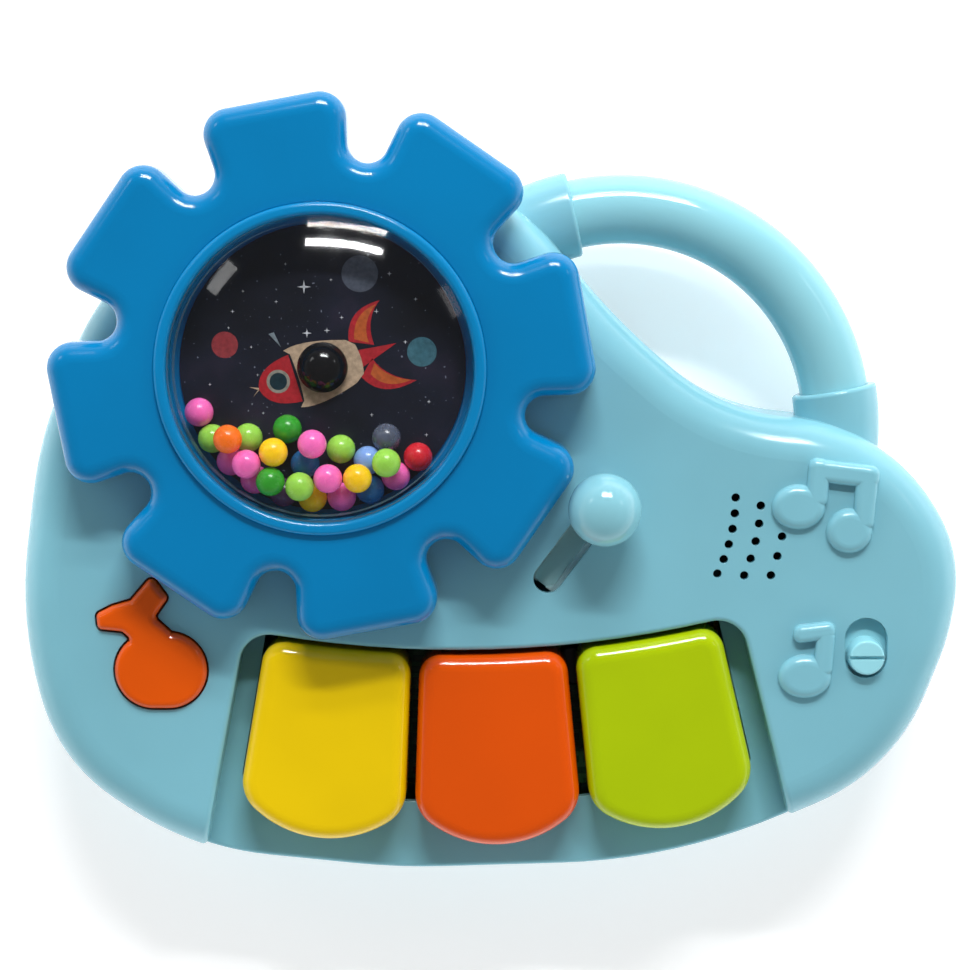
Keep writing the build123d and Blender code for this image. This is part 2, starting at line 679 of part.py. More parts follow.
# black cap on a stem that plugs into the hub
with BuildPart(WHEEL) as hub_cap:
    with BuildSketch(WHEEL.offset(PICTURE_Z)):
        Circle(HUB_CAP_RADIUS)
    extrude(amount=HUB_CAP_HEIGHT)
    cap_ball = (HUB_CAP_RADIUS ** 2 + HUB_CAP_DOME ** 2) / (2 * HUB_CAP_DOME)
    with Locations((0, 0, PICTURE_Z + HUB_CAP_HEIGHT - cap_ball)):
        Sphere(cap_ball, mode=Mode.INTERSECT)
    with BuildSketch(WHEEL.offset(FLOOR_Z - 3.3)):
        Circle(2.0)
    extrude(amount=PICTURE_Z - FLOOR_Z + 3.3)
write(hub_cap, "hub_cap")

# clear window: a shallow dome with a flange under the bezel
with BuildPart() as dome_window:
    with BuildSketch(Plane.XZ.offset(-WHEEL_Y)):
        with BuildLine():
            x = WHEEL_X
            rise = DOME_RISE
            outer = (DOME_RADIUS ** 2 + rise ** 2) / (2 * rise)
            apex = DOME_RIM_Z + rise
            inner_r = DOME_RADIUS - DOME_SKIN
            inner_rim = DOME_RIM_Z - 0.4
            inner_apex = apex - DOME_SKIN
            half = DOME_RADIUS / 2
            half_z = apex - outer + math.sqrt(outer ** 2 - half ** 2)
            inner = (inner_r ** 2 + (inner_apex - inner_rim) ** 2) / (2 * (inner_apex - inner_rim))
            inner_half_z = inner_apex - inner + math.sqrt(inner ** 2 - (inner_r / 2) ** 2)
            Polyline(
                (x + inner_r, inner_rim), (x + inner_r, DOME_SEAT_Z), (x + BEZEL_RADIUS, DOME_SEAT_Z),
                (x + BEZEL_RADIUS, DOME_SEAT_Z + DOME_FLANGE), (x + DOME_RADIUS, DOME_SEAT_Z + DOME_FLANGE),
                (x + DOME_RADIUS, DOME_RIM_Z),
            )
            ThreePointArc((x + DOME_RADIUS, DOME_RIM_Z), (x + half, half_z), (x, apex))
            Line((x, apex), (x, inner_apex))
            ThreePointArc((x, inner_apex), (x + inner_r / 2, inner_half_z), (x + inner_r, inner_rim))
        make_face()
    revolve(axis=Axis((WHEEL_X, WHEEL_Y, 0), (0, 0, 1)))
write(dome_window, "dome_window")

with BuildPart(WHEEL) as dome_bezel:
    with BuildSketch(WHEEL.offset(DOME_SEAT_Z + DOME_FLANGE)):
        Circle(BEZEL_RADIUS)
        Circle(BEZEL_BORE, mode=Mode.SUBTRACT)
    extrude(amount=BEZEL_TOP_Z - DOME_SEAT_Z - DOME_FLANGE)
    fillet(dome_bezel.faces().sort_by(Axis.Z)[-1].edges(), 1.1)
write(dome_bezel, "dome_bezel")

with BuildPart(WHEEL) as hub_washer:
    with BuildSketch(WHEEL.offset(HUB_END_Z - 1.0)):
        Circle(8.6)
        Circle(1.6, mode=Mode.SUBTRACT)
    extrude(amount=1.0)
write(hub_washer, "hub_washer")


def screw(head_radius, head_height, shank_radius, shank_length, slot=1.1):
    """Pan-head screw with its head below the origin and its shank along +z, with a cross recess."""
    with BuildPart() as body:
        with Locations((0, 0, -head_height)):
            Cylinder(head_radius, head_height, align=UPRIGHT)
        fillet(body.faces().sort_by(Axis.Z)[0].edges(), head_height * 0.4)
        Cylinder(shank_radius, shank_length, align=UPRIGHT)
        chamfer(body.faces().sort_by(Axis.Z)[-1].edges(), shank_radius * 0.5)
        with Locations((0, 0, -head_height)):
            Box(head_radius * slot, head_radius * 0.3, head_height * 1.1, mode=Mode.SUBTRACT)
            Box(head_radius * 0.3, head_radius * slot, head_height * 1.1, mode=Mode.SUBTRACT)
    return body.part


with BuildPart() as hub_screw:
    with Locations((WHEEL_X, WHEEL_Y, HUB_END_Z - 1.0)):
        add(screw(3.4, 1.9, 1.25, 7.0))
write(hub_screw, "hub_screw")

# loose beads, gathered at the lower side of the chamber: x and y from the wheel's centre, layer
BEADS = {
    "pink": [(-28, -11, 0), (-2, -17, 1), (-22, -22.5, 0), (-17, -22, 1), (-16, -27, 0), (2, -25, 1), (4, -30.5, 0),
             (17, -27, 0)],
    "light_green": [(-26, -17, 0), (-17, -16, 0), (5, -19, 0), (15.5, -23, 1), (-4, -28, 1)],
    "dark_green": [(-8, -14, 0), (-11, -26, 1)],
    "yellow": [(-11, -19.5, 1), (-2, -31, 0), (9, -26.5, 1)],
    "orange": [(-22, -16, 1)],
    "blue": [(-4, -22, 0), (11, -29.5, 0)],
    "pale_blue": [(10.5, -22, 0)],
    "clear": [(14, -17, 0)],
    "red": [(22, -22, 0)],
    "purple": [(-9.5, -30.5, 0)],
}
BEAD_GAP = 0.06
BEAD_LOW_Z = PICTURE_Z + BEAD_RADIUS + BEAD_GAP
BEAD_HIGH_Z = BEAD_LOW_Z + 5.4
BEAD_LIMIT_R = DOME_RADIUS - DOME_SKIN - BEAD_RADIUS - 0.15


def settled_beads():
    """Push the beads apart until none touch, keeping each inside the chamber and under the window."""
    heights = (BEAD_LOW_Z, BEAD_HIGH_Z)
    beads = [[colour, x, y, heights[layer]] for colour, spots in BEADS.items() for x, y, layer in spots]
    spacing = 2 * BEAD_RADIUS + 2 * BEAD_GAP
    for _ in range(4000):
        moved = False
        for i, first in enumerate(beads):
            for second in beads[i + 1:]:
                gap = [second[k] - first[k] for k in (1, 2, 3)]
                distance = math.sqrt(sum(g * g for g in gap)) or 0.01
                if distance < spacing:
                    moved = True
                    push = (spacing - distance) / 2 / distance + 1e-4
                    for k in (1, 2, 3):
                        first[k] -= gap[k - 1] * push
                        second[k] += gap[k - 1] * push
        for bead in beads:
            reach = math.hypot(bead[1], bead[2])
            if reach > BEAD_LIMIT_R:
                bead[1] *= BEAD_LIMIT_R / reach
                bead[2] *= BEAD_LIMIT_R / reach
            bead[3] = min(max(bead[3], BEAD_LOW_Z), BEAD_HIGH_Z)
        if not moved:
            break
    return beads


SETTLED = settled_beads()
for colour in BEADS:
    with BuildPart(WHEEL) as beads:
        with Locations(*[(x, y, z) for name, x, y, z in SETTLED if name == colour]):
            Sphere(BEAD_RADIUS)
    write(beads, f"beads_{colour}")


# ---------------------------------------------------------------- keys
with BuildPart() as one_key:
    with BuildSketch(Plane.XY.offset(KEY_LIP_Z)) as outline:
        with BuildLine():
            left = -KEY_HALF_ANGLE
            right = KEY_HALF_ANGLE
            ThreePointArc(fan_point(left, KEY_TOP_R), fan_point(0, KEY_TOP_R), fan_point(right, KEY_TOP_R))
            Line(fan_point(right, KEY_TOP_R), fan_point(right, KEY_SIDE_R))
            ThreePointArc(fan_point(right, KEY_SIDE_R), fan_point(0, KEY_END_R), fan_point(left, KEY_SIDE_R))
            Line(fan_point(left, KEY_SIDE_R), fan_point(left, KEY_TOP_R))
        make_face()
        fillet(outline.vertices().sort_by(Axis.Y)[:2], KEY_LOW_CORNER)
        fillet(outline.vertices().sort_by(Axis.Y)[-2:], KEY_TOP_CORNER)
    extrude(amount=KEY_TOP_Z - KEY_LIP_Z)
    fillet(one_key.faces().sort_by(Axis.Z)[-1].edges(), KEY_ROUND)
    # skirt through the tray's opening
    with BuildSketch(Plane.XY.offset(KEY_SKIRT_Z)):
        add(fan_face(left, right, KEY_TOP_R, KEY_SKIRT_R, KEY_TOP_CORNER, 2.0))
    extrude(amount=KEY_LIP_Z - KEY_SKIRT_Z)
    side = math.degrees(KEY_SKIN / KEY_TOP_R)
    with BuildSketch(Plane.XY.offset(KEY_SKIRT_Z)):
        add(fan_face(left + side, right - side, KEY_TOP_R + KEY_SKIN, KEY_SKIRT_R - KEY_SKIN, 3.5, 1.0))
    extrude(amount=KEY_TOP_Z - KEY_SKIN - KEY_SKIRT_Z, mode=Mode.SUBTRACT)
    # pressing post
    with BuildSketch(Plane.XY.offset(KEY_POST_Z)):
        with Locations(fan_point(0, KEY_POST_R)):
            Circle(KEY_POST_RADIUS)
    extrude(amount=KEY_TOP_Z - KEY_SKIN - KEY_POST_Z)
    # hinge arm and barrel
    with BuildSketch(fan_frame(0, KEY_HINGE_R, KEY_SKIRT_Z)):
        with Locations((0, -4.5)):
            Rectangle(2 * KEY_ARM_HALF, 6.0)
    extrude(amount=3.0)
    with BuildSketch(pin_plane(0, -KEY_ARM_HALF)):
        Circle(2.3)
    extrude(amount=2 * KEY_ARM_HALF)
    with BuildSketch(pin_plane(0, -KEY_ARM_HALF - 1)):
        Circle(HINGE_PIN_RADIUS + 0.05)
    extrude(amount=2 * KEY_ARM_HALF + 2, mode=Mode.SUBTRACT)

FAN_AXIS = Axis((FAN_X, FAN_Y, 0), (0, 0, 1))
for name, angle in zip(("key_yellow", "key_orange", "key_green"), KEY_ANGLES):
    with BuildPart() as key:
        add(one_key.part.rotate(FAN_AXIS, angle))
    write(key, name)

with BuildPart() as key_hinge_pins:
    for angle in KEY_ANGLES:
        with BuildSketch(pin_plane(angle, -PIN_HALF)):
            Circle(HINGE_PIN_RADIUS)
        extrude(amount=2 * PIN_HALF)
write(key_hinge_pins, "key_hinge_pins")


def contact_dome(x, y, base_z, top_z):
    """Rubber contact dome: a flange, a cone and a flat top."""
    with BuildPart() as dome:
        with Locations((x, y, base_z)):
            Cylinder(5.2, 0.8, align=UPRIGHT)
            Cone(4.4, 2.6, top_z - base_z, align=UPRIGHT)
            Cone(3.6, 1.8, top_z - base_z - 1.2, align=UPRIGHT, mode=Mode.SUBTRACT)
    return dome


BOARD_TOP_Z = BOARD_Z + BOARD_THICKNESS
for name, angle in zip(("yellow", "orange", "green"), KEY_ANGLES):
    x, y = fan_point(angle, KEY_POST_R)
    write(contact_dome(x, y, BOARD_TOP_Z, KEY_POST_Z - 0.1), f"contact_dome_{name}")

# ---------------------------------------------------------------- note button
with BuildPart() as note_button:
    with BuildSketch(Plane.XY.offset(NOTE_FLANGE_Z)):
        add(note_button_face(0))
    extrude(amount=NOTE_TOP_Z - NOTE_FLANGE_Z)
    fillet(note_button.faces().sort_by(Axis.Z)[-1].edges(), NOTE_ROUND)
    with BuildSketch(Plane.XY.offset(NOTE_FLANGE_Z)):
        add(note_button_face(NOTE_FLANGE))
    extrude(amount=1.8)
    with BuildSketch(Plane.XY.offset(NOTE_DOME_TOP_Z + 0.1)):
        with Locations((NOTE_X, NOTE_Y)):
            Circle(2.8)
    extrude(amount=NOTE_FLANGE_Z - NOTE_DOME_TOP_Z + 0.5)
write(note_button, "note_button")

with BuildPart() as note_button_board:
    with BuildSketch(Plane.XY.offset(NOTE_BOARD_Z)):
        with Locations((NOTE_X + 0.3, NOTE_Y)):
            RectangleRounded(30.0, 14.0, 1.5)
        with Locations(*NOTE_BOARD_SCREWS):
            Circle(1.15, mode=Mode.SUBTRACT)
    extrude(amount=BOARD_THICKNESS)
write(note_button_board, "note_button_board")
write(contact_dome(NOTE_X, NOTE_Y, NOTE_BOARD_Z + BOARD_THICKNESS, NOTE_DOME_TOP_Z), "contact_dome_note")

# ---------------------------------------------------------------- ball knob
with BuildPart() as slider_knob:
    with Locations((KNOB_X, KNOB_Y, BALL_Z)):
        Sphere(BALL_RADIUS)
        with Locations((0, 0, -BALL_RADIUS)):
            Box(30, 30, 3.0, mode=Mode.SUBTRACT)
    with Locations((KNOB_X, KNOB_Y, FOOT_TOP_Z)):
        Cylinder(STEM_RADIUS, BALL_Z - FOOT_TOP_Z, align=UPRIGHT)
        Cylinder(1.1, 6.0, align=UPRIGHT, mode=Mode.SUBTRACT)
write(slider_knob, "slider_knob")

with BuildPart() as slider_foot:
    with BuildSketch(slot_plane(FOOT_TOP_Z - FOOT_THICKNESS)):
        with Locations((SLOT_RUN / 2, 0)):
            RectangleRounded(13.0, 11.0, 1.5)
            Circle(1.25, mode=Mode.SUBTRACT)
    extrude(amount=FOOT_THICKNESS)
write(slider_foot, "slider_foot")

with BuildPart() as slider_screw:
    with Locations((KNOB_X, KNOB_Y, FOOT_TOP_Z - FOOT_THICKNESS)):
        add(screw(2.4, 1.2, 1.0, 6.5))
write(slider_screw, "slider_screw")

# plate under the slot that carries the slider; a groove clears the foot's screw
with BuildPart() as slider_track:
    with BuildSketch(slot_plane(TRACK_LOW_Z)):
        with Locations((4.4, 0)):
            RectangleRounded(SLOT_RUN + 13.6, 14.0, 2.0)
        with Locations((0, 0)):
            RectangleRounded(9.0, 25.0, 3.0)
        with Locations(*TRACK_SCREWS):
            Circle(1.15, mode=Mode.SUBTRACT)
    extrude(amount=TRACK_Z - TRACK_LOW_Z)
    with BuildSketch(slot_plane(TRACK_LOW_Z + 1.0)):
        SlotCenterToCenter(SLOT_RUN, 5.4)
    extrude(amount=TRACK_Z, mode=Mode.SUBTRACT)
write(slider_track, "slider_track")

with BuildPart() as slider_track_screws:
    for x, y in TRACK_SCREWS:
        spot = slot_plane(TRACK_LOW_Z).from_local_coords((x, y, 0))
        with Locations(spot):
            add(screw(2.2, 1.2, 1.0, TRACK_Z - TRACK_LOW_Z + 3.0))
write(slider_track_screws, "slider_track_screws")

# ---------------------------------------------------------------- power switch
with BuildPart() as switch_knob:
    with BuildSketch(Plane.XY.offset(SWITCH_PLATE_Z)):
        with Locations((SWITCH_X, SWITCH_KNOB_Y + 0.1)):
            RectangleRounded(14.0, 19.4, 2.0)
    extrude(amount=1.4)
    with Locations((SWITCH_X, SWITCH_KNOB_Y, SWITCH_PLATE_Z + 1.0)):
        Cone(4.5, 4.0, SWITCH_TOP_Z - SWITCH_PLATE_Z - 1.0, align=UPRIGHT)
    fillet(switch_knob.faces().sort_by(Axis.Z)[-1].edges(), 0.5)
    with Locations((SWITCH_X, SWITCH_KNOB_Y, SWITCH_TOP_Z)):
        Box(10.0, 0.8, 1.6, mode=Mode.SUBTRACT)
    with Locations((SWITCH_X, SWITCH_KNOB_Y, SWITCH_CASE_Z + 4.0)):
        Box(2.0, 2.0, SWITCH_PLATE_Z - SWITCH_CASE_Z - 3.5, align=UPRIGHT)
write(switch_knob, "switch_knob")

with BuildPart() as power_switch:
    with Locations((SWITCH_X, SWITCH_CASE_Y, SWITCH_CASE_Z)):
        Box(9.0, 14.0, 6.0, align=UPRIGHT)
    with Locations((SWITCH_X, SWITCH_CASE_Y, SWITCH_CASE_Z + 3.5)):
        Box(2.6, 8.6, 6.0, align=UPRIGHT, mode=Mode.SUBTRACT)
    chamfer(power_switch.edges().filter_by(Axis.Z).sort_by(Axis.X)[:2], 0.6)
write(power_switch, "power_switch")

# ---------------------------------------------------------------- speaker
CEILING_Z = FACE_Z - WALL - FIT
SPEAKER_AXIS = Axis((SPEAKER_X, SPEAKER_Y, 0), (0, 0, 1))
with BuildPart() as speaker_frame:
    with BuildSketch(Plane.XZ.offset(-SPEAKER_Y)):
        with BuildLine():
            x = SPEAKER_X
            Polyline(
                [(x + 14.5, CEILING_Z), (x + 17.4, CEILING_Z), (x + 17.4, CEILING_Z - 1.6), (x + 16.2, CEILING_Z - 1.6),
                 (x + 10.5, 25.0), (x + 4.6, 25.0), (x + 4.6, 25.8), (x + 10.0, 25.8), (x + 14.5, CEILING_Z - 1.2)],
                close=True,
            )
        make_face()
    revolve(axis=SPEAKER_AXIS)
write(speaker_frame, "speaker_frame")

with BuildPart() as speaker_cone:
    with BuildSketch(Plane.XZ.offset(-SPEAKER_Y)):
        with BuildLine():
            Polyline(
                [(x + 14.4, CEILING_Z - 0.2), (x + 14.4, CEILING_Z - 0.6), (x + 5.0, 28.6), (x, 27.4), (x, 27.8),
                 (x + 5.0, 29.0)],
                close=True,
            )
        make_face()
    revolve(axis=SPEAKER_AXIS)
write(speaker_cone, "speaker_cone")

with BuildPart() as speaker_magnet:
    with Locations((SPEAKER_X, SPEAKER_Y, 19.4)):
        Cylinder(9.0, 5.6, align=UPRIGHT)
    fillet(speaker_magnet.faces().sort_by(Axis.Z)[0].edges(), 0.8)
    with Locations((SPEAKER_X, SPEAKER_Y, 24.0)):
        Cylinder(4.5, 2.8, align=UPRIGHT)
write(speaker_magnet, "speaker_magnet")

# ---------------------------------------------------------------- main board
with BuildPart() as main_circuit_board:
    with BuildSketch(Plane.XY.offset(BOARD_Z)):
        with Locations((3.0, -56.0)):
            RectangleRounded(106.0, 36.0, 2.0)
        with Locations(*BOARD_SCREWS):
            Circle(1.3, mode=Mode.SUBTRACT)
    extrude(amount=BOARD_THICKNESS)
write(main_circuit_board, "main_circuit_board")

with BuildPart() as board_screws:
    for x, y in BOARD_SCREWS:
        with Locations(Location((x, y, BOARD_TOP_Z), (180, 0, 0))):
            add(screw(2.3, 1.3, 1.05, 6.5))
write(board_screws, "board_screws")

with BuildPart() as note_board_screws:
    for x, y in NOTE_BOARD_SCREWS:
        with Locations(Location((x, y, NOTE_BOARD_Z + BOARD_THICKNESS), (180, 0, 0))):
            add(screw(2.0, 1.2, 0.9, 6.0))
write(note_board_screws, "note_board_screws")

# glob of resin over the sound chip
with BuildPart() as sound_chip:
    with Locations((20.0, -44.5, BOARD_TOP_Z)):
        Cylinder(5.0, 1.6, align=UPRIGHT)
    fillet(sound_chip.faces().sort_by(Axis.Z)[-1].edges(), 1.2)
write(sound_chip, "sound_chip")

# ---------------------------------------------------------------- power
with BuildPart() as batteries:
    for i, y in enumerate(CELL_ROWS):
        side = 1 if i % 2 == 0 else -1
        start = BOX_CX - side * CELL_LENGTH / 2
        with BuildSketch(Plane(origin=(start, y, CELL_Z), z_dir=(side, 0, 0))):
            Circle(CELL_RADIUS)
        extrude(amount=CELL_LENGTH)
        with BuildSketch(Plane(origin=(start + side * CELL_LENGTH, y, CELL_Z), z_dir=(side, 0, 0))):
            Circle(2.7)
        extrude(amount=1.4)
    ends = batteries.edges().filter_by(GeomType.CIRCLE).group_by(SortBy.LENGTH)[-1]
    fillet(ends, 0.7)
write(batteries, "batteries")


def end_contacts(positive):
    """Contacts at the cells' button ends (positive) or flat ends."""
    with BuildPart() as plates:
        for i, y in enumerate(CELL_ROWS):
            side = 1 if (i % 2 == 0) == positive else -1
            wall_x = BOX_CX + side * (BOX_LENGTH / 2 - 0.3)
            cell_x = BOX_CX + side * (CELL_LENGTH / 2 + (1.4 if positive else 0.0))
            gap = abs(wall_x - cell_x) - 0.1
            with BuildSketch(Plane(origin=(wall_x, y, CELL_Z), z_dir=(-side, 0, 0))):
                Rectangle(PLATE_SIDE, PLATE_SIDE)
            extrude(amount=0.5)
            if positive:
                with BuildSketch(Plane(origin=(wall_x, y, CELL_Z), z_dir=(-side, 0, 0))):
                    Circle(2.4)
                extrude(amount=gap)
            else:
                with BuildSketch(Plane(origin=(wall_x, y, CELL_Z), z_dir=(-side, 0, 0))):
                    Circle(4.2)
                extrude(amount=gap, taper=18)
    return plates


write(end_contacts(True), "battery_contacts_positive")
write(end_contacts(False), "battery_contacts_negative")

with BuildPart() as battery_door:
    with BuildSketch():
        add(door_face(DOOR_MARGIN))
        with Locations((DOOR_SCREW_X, DOOR_SCREW_Y)):
            Circle(1.6, mode=Mode.SUBTRACT)
    extrude(amount=DOOR_THICKNESS)
    with BuildSketch(Plane.XY.offset(0.8)):
        with Locations(*DOOR_TONGUES):
            Rectangle(8.0, 4.0)
    extrude(amount=1.0)
    with Locations((DOOR_SCREW_X, DOOR_SCREW_Y, 0)):
        Cylinder(2.9, 1.2, align=UPRIGHT, mode=Mode.SUBTRACT)
    with BuildSketch():
        with Locations((BOX_CX - 20, BOX_CY)):
            with GridLocations(0, 3.0, 1, 7):
                RectangleRounded(9.0, 1.2, 0.5)
    extrude(amount=0.5, mode=Mode.SUBTRACT)
write(battery_door, "battery_door")

with BuildPart() as battery_door_screw:
    with Locations((DOOR_SCREW_X, DOOR_SCREW_Y, 1.2)):
        add(screw(2.7, 1.1, 1.2, 7.5))
write(battery_door_screw, "battery_door_screw")

# ---------------------------------------------------------------- wires
def wire(points):
    """Insulated wire along straight runs with rounded bends."""
    with BuildPart() as strand:
        with BuildLine() as route:
            FilletPolyline(points, radius=WIRE_BEND)
        with BuildSketch(route.line ^ 0):
            Circle(WIRE_RADIUS)
        sweep(path=route.line)
    return strand.part


ROOF_RUN_Z = BOX_Z + BOX_WALL + 1.9
PLATE_TOP_Z = CELL_Z + PLATE_SIDE / 2
with BuildPart() as battery_wires:
    for (x, y), run_x, end_y in zip(WIRE_EXITS, (-26.0, 41.3), (-46.0, -44.0)):
        points = [
            (x, y, PLATE_TOP_Z), (x, y, ROOF_RUN_Z), (run_x, y, ROOF_RUN_Z), (run_x, y, WIRE_RUN_Z),
            (run_x, end_y, WIRE_RUN_Z), (run_x, end_y, BOARD_TOP_Z),
        ]
        add(wire(points))
write(battery_wires, "battery_wires")

with BuildPart() as speaker_wires:
    for x, y in ((52.6, -12.0), (54.6, -15.4)):
        points = [
            (x, y, 25.0), (x, y, WIRE_RUN_Z), (x, -47.0, WIRE_RUN_Z), (x, -47.0, BOARD_TOP_Z),
        ]
        add(wire(points))
write(speaker_wires, "speaker_wires")

with BuildPart() as switch_wires:
    for y, run_x in ((-39.0, 78.5), (-34.0, 76.5)):
        end_y = y - 16.0
        points = [
            (SWITCH_X - 4.5, y, 23.0), (run_x, y, 23.0), (run_x, y, WIRE_RUN_Z), (run_x, end_y, WIRE_RUN_Z),
            (52.0, end_y, WIRE_RUN_Z), (52.0, end_y, BOARD_TOP_Z),
        ]
        add(wire(points))
write(switch_wires, "switch_wires")

# ---------------------------------------------------------------- case screws
with BuildPart() as case_screws:
    for x, y in CASE_SCREWS:
        with Locations((x, y, SCREW_SEAT_Z)):
            add(screw(SCREW_HEAD_RADIUS, 1.9, SCREW_RADIUS, SCREW_TIP_Z - SCREW_SEAT_Z))
write(case_screws, "case_screws")
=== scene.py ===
"""Looks of a toy electronic keyboard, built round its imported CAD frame. All lengths are metres."""

import math

import bmesh
import bpy
from mathutils import Matrix, Vector


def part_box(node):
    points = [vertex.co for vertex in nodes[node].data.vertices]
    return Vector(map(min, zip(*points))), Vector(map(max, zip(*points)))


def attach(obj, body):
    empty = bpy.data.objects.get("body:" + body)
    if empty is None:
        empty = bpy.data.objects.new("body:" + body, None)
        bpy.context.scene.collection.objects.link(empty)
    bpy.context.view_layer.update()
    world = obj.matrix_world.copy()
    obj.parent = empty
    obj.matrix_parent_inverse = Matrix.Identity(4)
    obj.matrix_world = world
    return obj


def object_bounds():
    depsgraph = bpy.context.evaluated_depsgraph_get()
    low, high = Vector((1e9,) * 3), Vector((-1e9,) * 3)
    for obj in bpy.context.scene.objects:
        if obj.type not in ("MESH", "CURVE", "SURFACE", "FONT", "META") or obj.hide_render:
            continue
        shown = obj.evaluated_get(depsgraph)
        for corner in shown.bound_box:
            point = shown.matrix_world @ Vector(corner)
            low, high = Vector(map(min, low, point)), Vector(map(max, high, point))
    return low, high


MM = 0.001

# ---------------------------------------------------------------- frame and the places read from it
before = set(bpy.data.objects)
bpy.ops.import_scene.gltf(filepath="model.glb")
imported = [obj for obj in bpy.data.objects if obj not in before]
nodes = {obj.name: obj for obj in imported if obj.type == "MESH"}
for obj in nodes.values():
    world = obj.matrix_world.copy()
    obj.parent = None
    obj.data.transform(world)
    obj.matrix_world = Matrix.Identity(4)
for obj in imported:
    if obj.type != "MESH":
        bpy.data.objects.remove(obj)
cad_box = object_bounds()

disc_low, disc_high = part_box("picture_disc")
WHEEL_CENTRE = (disc_low + disc_high) / 2
PICTURE_TOP = disc_high.z

# ---------------------------------------------------------------- view and light
VIEW_TILT = math.radians(6.0)
VIEW_DISTANCE = 0.6
VIEW_TARGET = Vector((-0.0013, 0.0, 0.018))
VIEW_WIDTH = 0.2328
SENSOR = 36.0

LAMP_DISTANCE = 1.6
TUBE_TURN = math.radians(-6)
CARD_TILT = math.radians(58)
FILL_DISTANCE = 2.0
FILL_TILT = math.radians(76)
FILL_WIDTH = 3.4
FILL_HEIGHT = 1.4
ROOM_LEVEL = 0.12
BAND_LEVEL = 0.8
BAND_LOW = 0.1
BAND_TOP = 0.36
FLOOR_SIZE = 2.5
FLOOR_GAP = 0.05 * MM
FLOOR_GLOW = 0.42


# ---------------------------------------------------------------- material building
def new_material(name):
    """Empty node material with a Principled shader; returns the material, its tree and the shader."""
    material = bpy.data.materials.new(name)
    material.use_nodes = True
    tree = material.node_tree
    tree.nodes.clear()
    output = tree.nodes.new("ShaderNodeOutputMaterial")
    shader = tree.nodes.new("ShaderNodeBsdfPrincipled")
    tree.links.new(shader.outputs["BSDF"], output.inputs["Surface"])
    return material, tree, shader


def noise(tree, scale, detail=2.0, stretch=(1.0, 1.0, 1.0), roughness=0.5):
    """Noise over the frame's own coordinates; returns its factor output."""
    place = tree.nodes.new("ShaderNodeTexCoord")
    mapping = tree.nodes.new("ShaderNodeMapping")
    mapping.inputs["Scale"].default_value = stretch
    texture = tree.nodes.new("ShaderNodeTexNoise")
    texture.inputs["Scale"].default_value = scale
    texture.inputs["Detail"].default_value = detail
    texture.inputs["Roughness"].default_value = roughness
    tree.links.new(place.outputs["Object"], mapping.inputs["Vector"])
    tree.links.new(mapping.outputs["Vector"], texture.inputs["Vector"])
    return texture.outputs["Fac"]


def ramp(tree, factor, stops):
    """Colour ramp over a factor; stops are (position, colour)."""
    node = tree.nodes.new("ShaderNodeValToRGB")
    elements = node.color_ramp.elements
    while len(elements) < len(stops):
        elements.new(0.5)
    for element, (position, colour) in zip(elements, stops):
        element.position = position
        element.color = (*colour[:3], 1.0)
    tree.links.new(factor, node.inputs["Fac"])
    return node.outputs["Color"]


def spread(tree, factor, low, high):
    """Maps a 0.3..0.7 noise factor to a range of values."""
    node = tree.nodes.new("ShaderNodeMapRange")
    node.inputs["From Min"].default_value = 0.3
    node.inputs["From Max"].default_value = 0.7
    node.inputs["To Min"].default_value = low
    node.inputs["To Max"].default_value = high
    tree.links.new(factor, node.inputs["Value"])
    return node.outputs["Result"]


def bump(tree, shader, height, distance, strength=1.0, under=None):
    """Adds a bump of a real height to the shader, on top of an earlier normal."""
    node = tree.nodes.new("ShaderNodeBump")
    node.inputs["Strength"].default_value = strength
    node.inputs["Distance"].default_value = distance
    tree.links.new(height, node.inputs["Height"])
    if under is not None:
        tree.links.new(under, node.inputs["Normal"])
    tree.links.new(node.outputs["Normal"], shader.inputs["Normal"])
    return node.outputs["Normal"]


def softened_edges(tree, radius):
    """Normal that rounds every sharp edge by a radius, as a mould does."""
    node = tree.nodes.new("ShaderNodeBevel")
    node.samples = 4
    node.inputs["Radius"].default_value = radius
    return node.outputs["Normal"]


def srgb(red, green, blue):
    """Linear colour from 0..255 screen values."""
    def linear(value):
        value /= 255.0
        return value / 12.92 if value <= 0.04045 else ((value + 0.055) / 1.055) ** 2.4
    return (linear(red), linear(green), linear(blue))


def shade(colour, factor):
    """A colour made darker or lighter."""
    return tuple(min(1.0, c * factor) for c in colour)


def moulded_plastic(name, colour, roughness, soft=0.0, edge=0.3 * MM, coat=0.0):
    """Moulded plastic: slight clouding, uneven gloss, orange peel, hairline scratches and softened edges."""
    material, tree, shader = new_material(name)
    cloud = noise(tree, 22.0, 3.0)
    base = ramp(tree, cloud, [(0.3, shade(colour, 0.94)), (0.7, shade(colour, 1.05))])
    tree.links.new(base, shader.inputs["Base Color"])
    handling = noise(tree, 160.0, 5.0, stretch=(1.0, 0.35, 1.0), roughness=0.65)
    tree.links.new(spread(tree, handling, roughness * 0.92, roughness * 1.1), shader.inputs["Roughness"])
    shader.inputs["IOR"].default_value = 1.49
    shader.inputs["Coat Weight"].default_value = coat
    shader.inputs["Coat Roughness"].default_value = 0.06
    shader.inputs["Subsurface Weight"].default_value = soft
    shader.inputs["Subsurface Radius"].default_value = (2.0 * MM, 1.6 * MM, 1.2 * MM)
    shader.inputs["Subsurface Scale"].default_value = 1.0
    rounded = softened_edges(tree, edge)
    orange_peel = bump(tree, shader, noise(tree, 420.0, 1.0), 0.006 * MM, 0.5, rounded)
    scratches = noise(tree, 900.0, 2.0, stretch=(1.0, 0.12, 1.0), roughness=0.6)
    bump(tree, shader, scratches, 0.001 * MM, 0.4, orange_peel)
    return material


